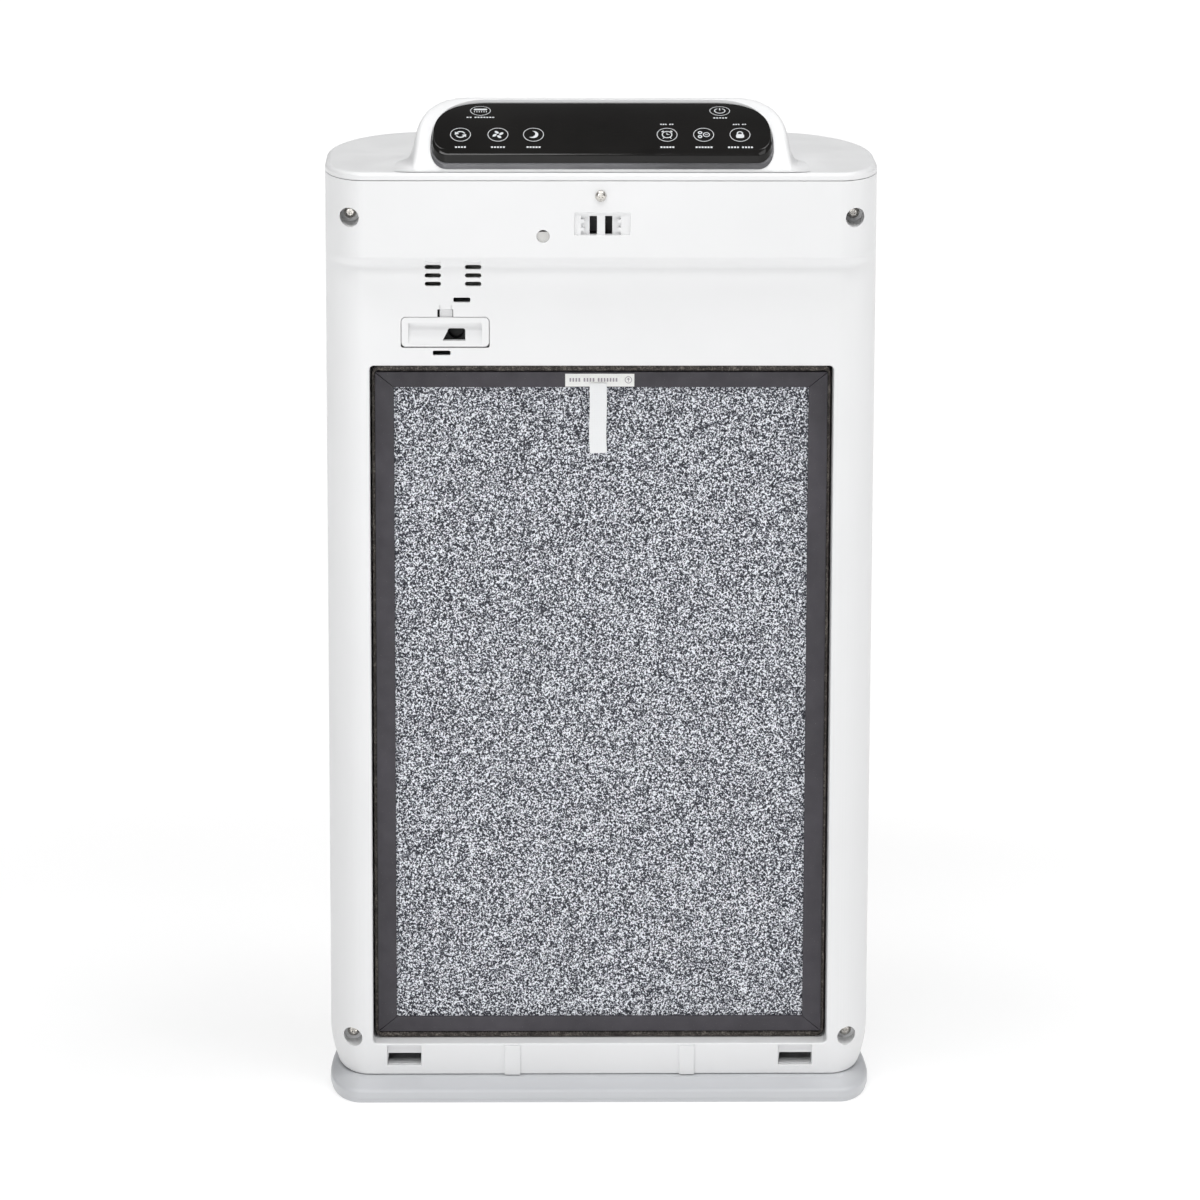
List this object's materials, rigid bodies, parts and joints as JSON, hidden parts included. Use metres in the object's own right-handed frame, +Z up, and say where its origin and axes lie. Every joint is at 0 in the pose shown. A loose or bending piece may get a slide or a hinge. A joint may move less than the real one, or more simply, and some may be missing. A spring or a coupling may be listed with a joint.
{
  "type": "air purifier",
  "caption": "Tall upright room air purifier with its front cover off: filter cartridge in a bay, fan behind it, sloping touch panel and grille on top, on a low plinth.",
  "frame": {"origin": "middle of the footprint, on the surface that the rubber feet stand on", "axes": "+Z up along the height, +Y from the open filter side towards the back, +X to the right as seen from the open filter side"},
  "size_m": [0.322, 0.2, 0.5852],
  "materials": {
    "housing_white": "fine satin moulded white ABS",
    "inner_white": "matte moulded off-white",
    "base_grey": "satin moulded pale blue-grey",
    "grille_grey": "matte moulded grey",
    "panel_glass": "polished black",
    "panel_diffuser": "smoked translucent",
    "filter_card": "dark coated card, dusty",
    "filter_foam": "open dark foam, dusty",
    "carbon_media": "black granules under pale fibres",
    "hepa_media": "pleated white glass-fibre paper",
    "tab_fabric": "white non-woven tape",
    "label_paper": "matt white paper",
    "rubber_black": "matt black",
    "black_plastic": "matte black",
    "screw_steel": "nickel plated",
    "motor_steel": "pressed zinc-plated steel",
    "board_green": "green solder mask",
    "lamp_glass": "clear quartz glass"
  },
  "bodies": {
    "housing": {"front_housing": "housing_white", "rear_housing": "housing_white", "top_cap": "housing_white", "outlet_grille": "grille_grey", "base": "base_grey", "foot_front_left": "rubber_black", "foot_front_right": "rubber_black", "foot_rear_left": "rubber_black", "foot_rear_right": "rubber_black", "control_pod": "housing_white", "touch_panel": "panel_glass", "panel_diffuser": "panel_diffuser", "control_board": "board_green", "housing_screw_top_left": "screw_steel", "housing_screw_top_right": "screw_steel", "housing_screw_bottom_left": "screw_steel", "housing_screw_bottom_right": "screw_steel", "base_screw_front_left": "screw_steel", "base_screw_front_right": "screw_steel", "base_screw_rear_left": "screw_steel", "base_screw_rear_right": "screw_steel", "latch_screw": "screw_steel", "latch_block": "inner_white", "interlock_switch": "black_plastic", "dust_sensor": "black_plastic", "scroll_casing": "inner_white", "fan_guard": "inner_white", "inlet_ring": "inner_white", "fan_motor": "motor_steel", "motor_mount": "motor_steel", "uv_lamp": "lamp_glass", "lamp_socket_left": "inner_white", "lamp_socket_right": "inner_white", "ionizer": "black_plastic", "power_board": "board_green", "cord_gland": "black_plastic"},
    "filter_cartridge": {"filter_seal": "filter_foam", "frame_bottom": "filter_card", "frame_right": "filter_card", "frame_top": "filter_card", "frame_left": "filter_card", "carbon_media": "carbon_media", "hepa_media": "hepa_media", "filter_label": "label_paper", "pull_tab": "tab_fabric"},
    "fan_rotor": {"impeller": "inner_white", "motor_shaft": "screw_steel", "impeller_nut": "screw_steel"},
    "sensor_door": {"sensor_door": "housing_white"},
    "interlock": {"interlock_plunger": "inner_white"}
  },
  "joints": [
    {"name": "filter_slide", "type": "slide", "parent": "housing", "child": "filter_cartridge", "axis": [0, -1, 0], "range_m": [0, 0.06]},
    {"name": "fan_spin", "type": "hinge", "parent": "housing", "child": "fan_rotor", "pos_m": [0, 0, 0.225], "axis": [0, -1, 0], "continuous": true},
    {"name": "sensor_door_hinge", "type": "hinge", "parent": "housing", "child": "sensor_door", "pos_m": [-0.09, -0.0787, 0.4491], "axis": [1, 0, 0], "range_deg": [0, 75]},
    {"name": "interlock_press", "type": "slide", "parent": "housing", "child": "interlock", "axis": [0, 1, 0], "range_m": [0, 0.003], "stiffness_N_per_m": 250, "springref_m": -0.0006}
  ]
}
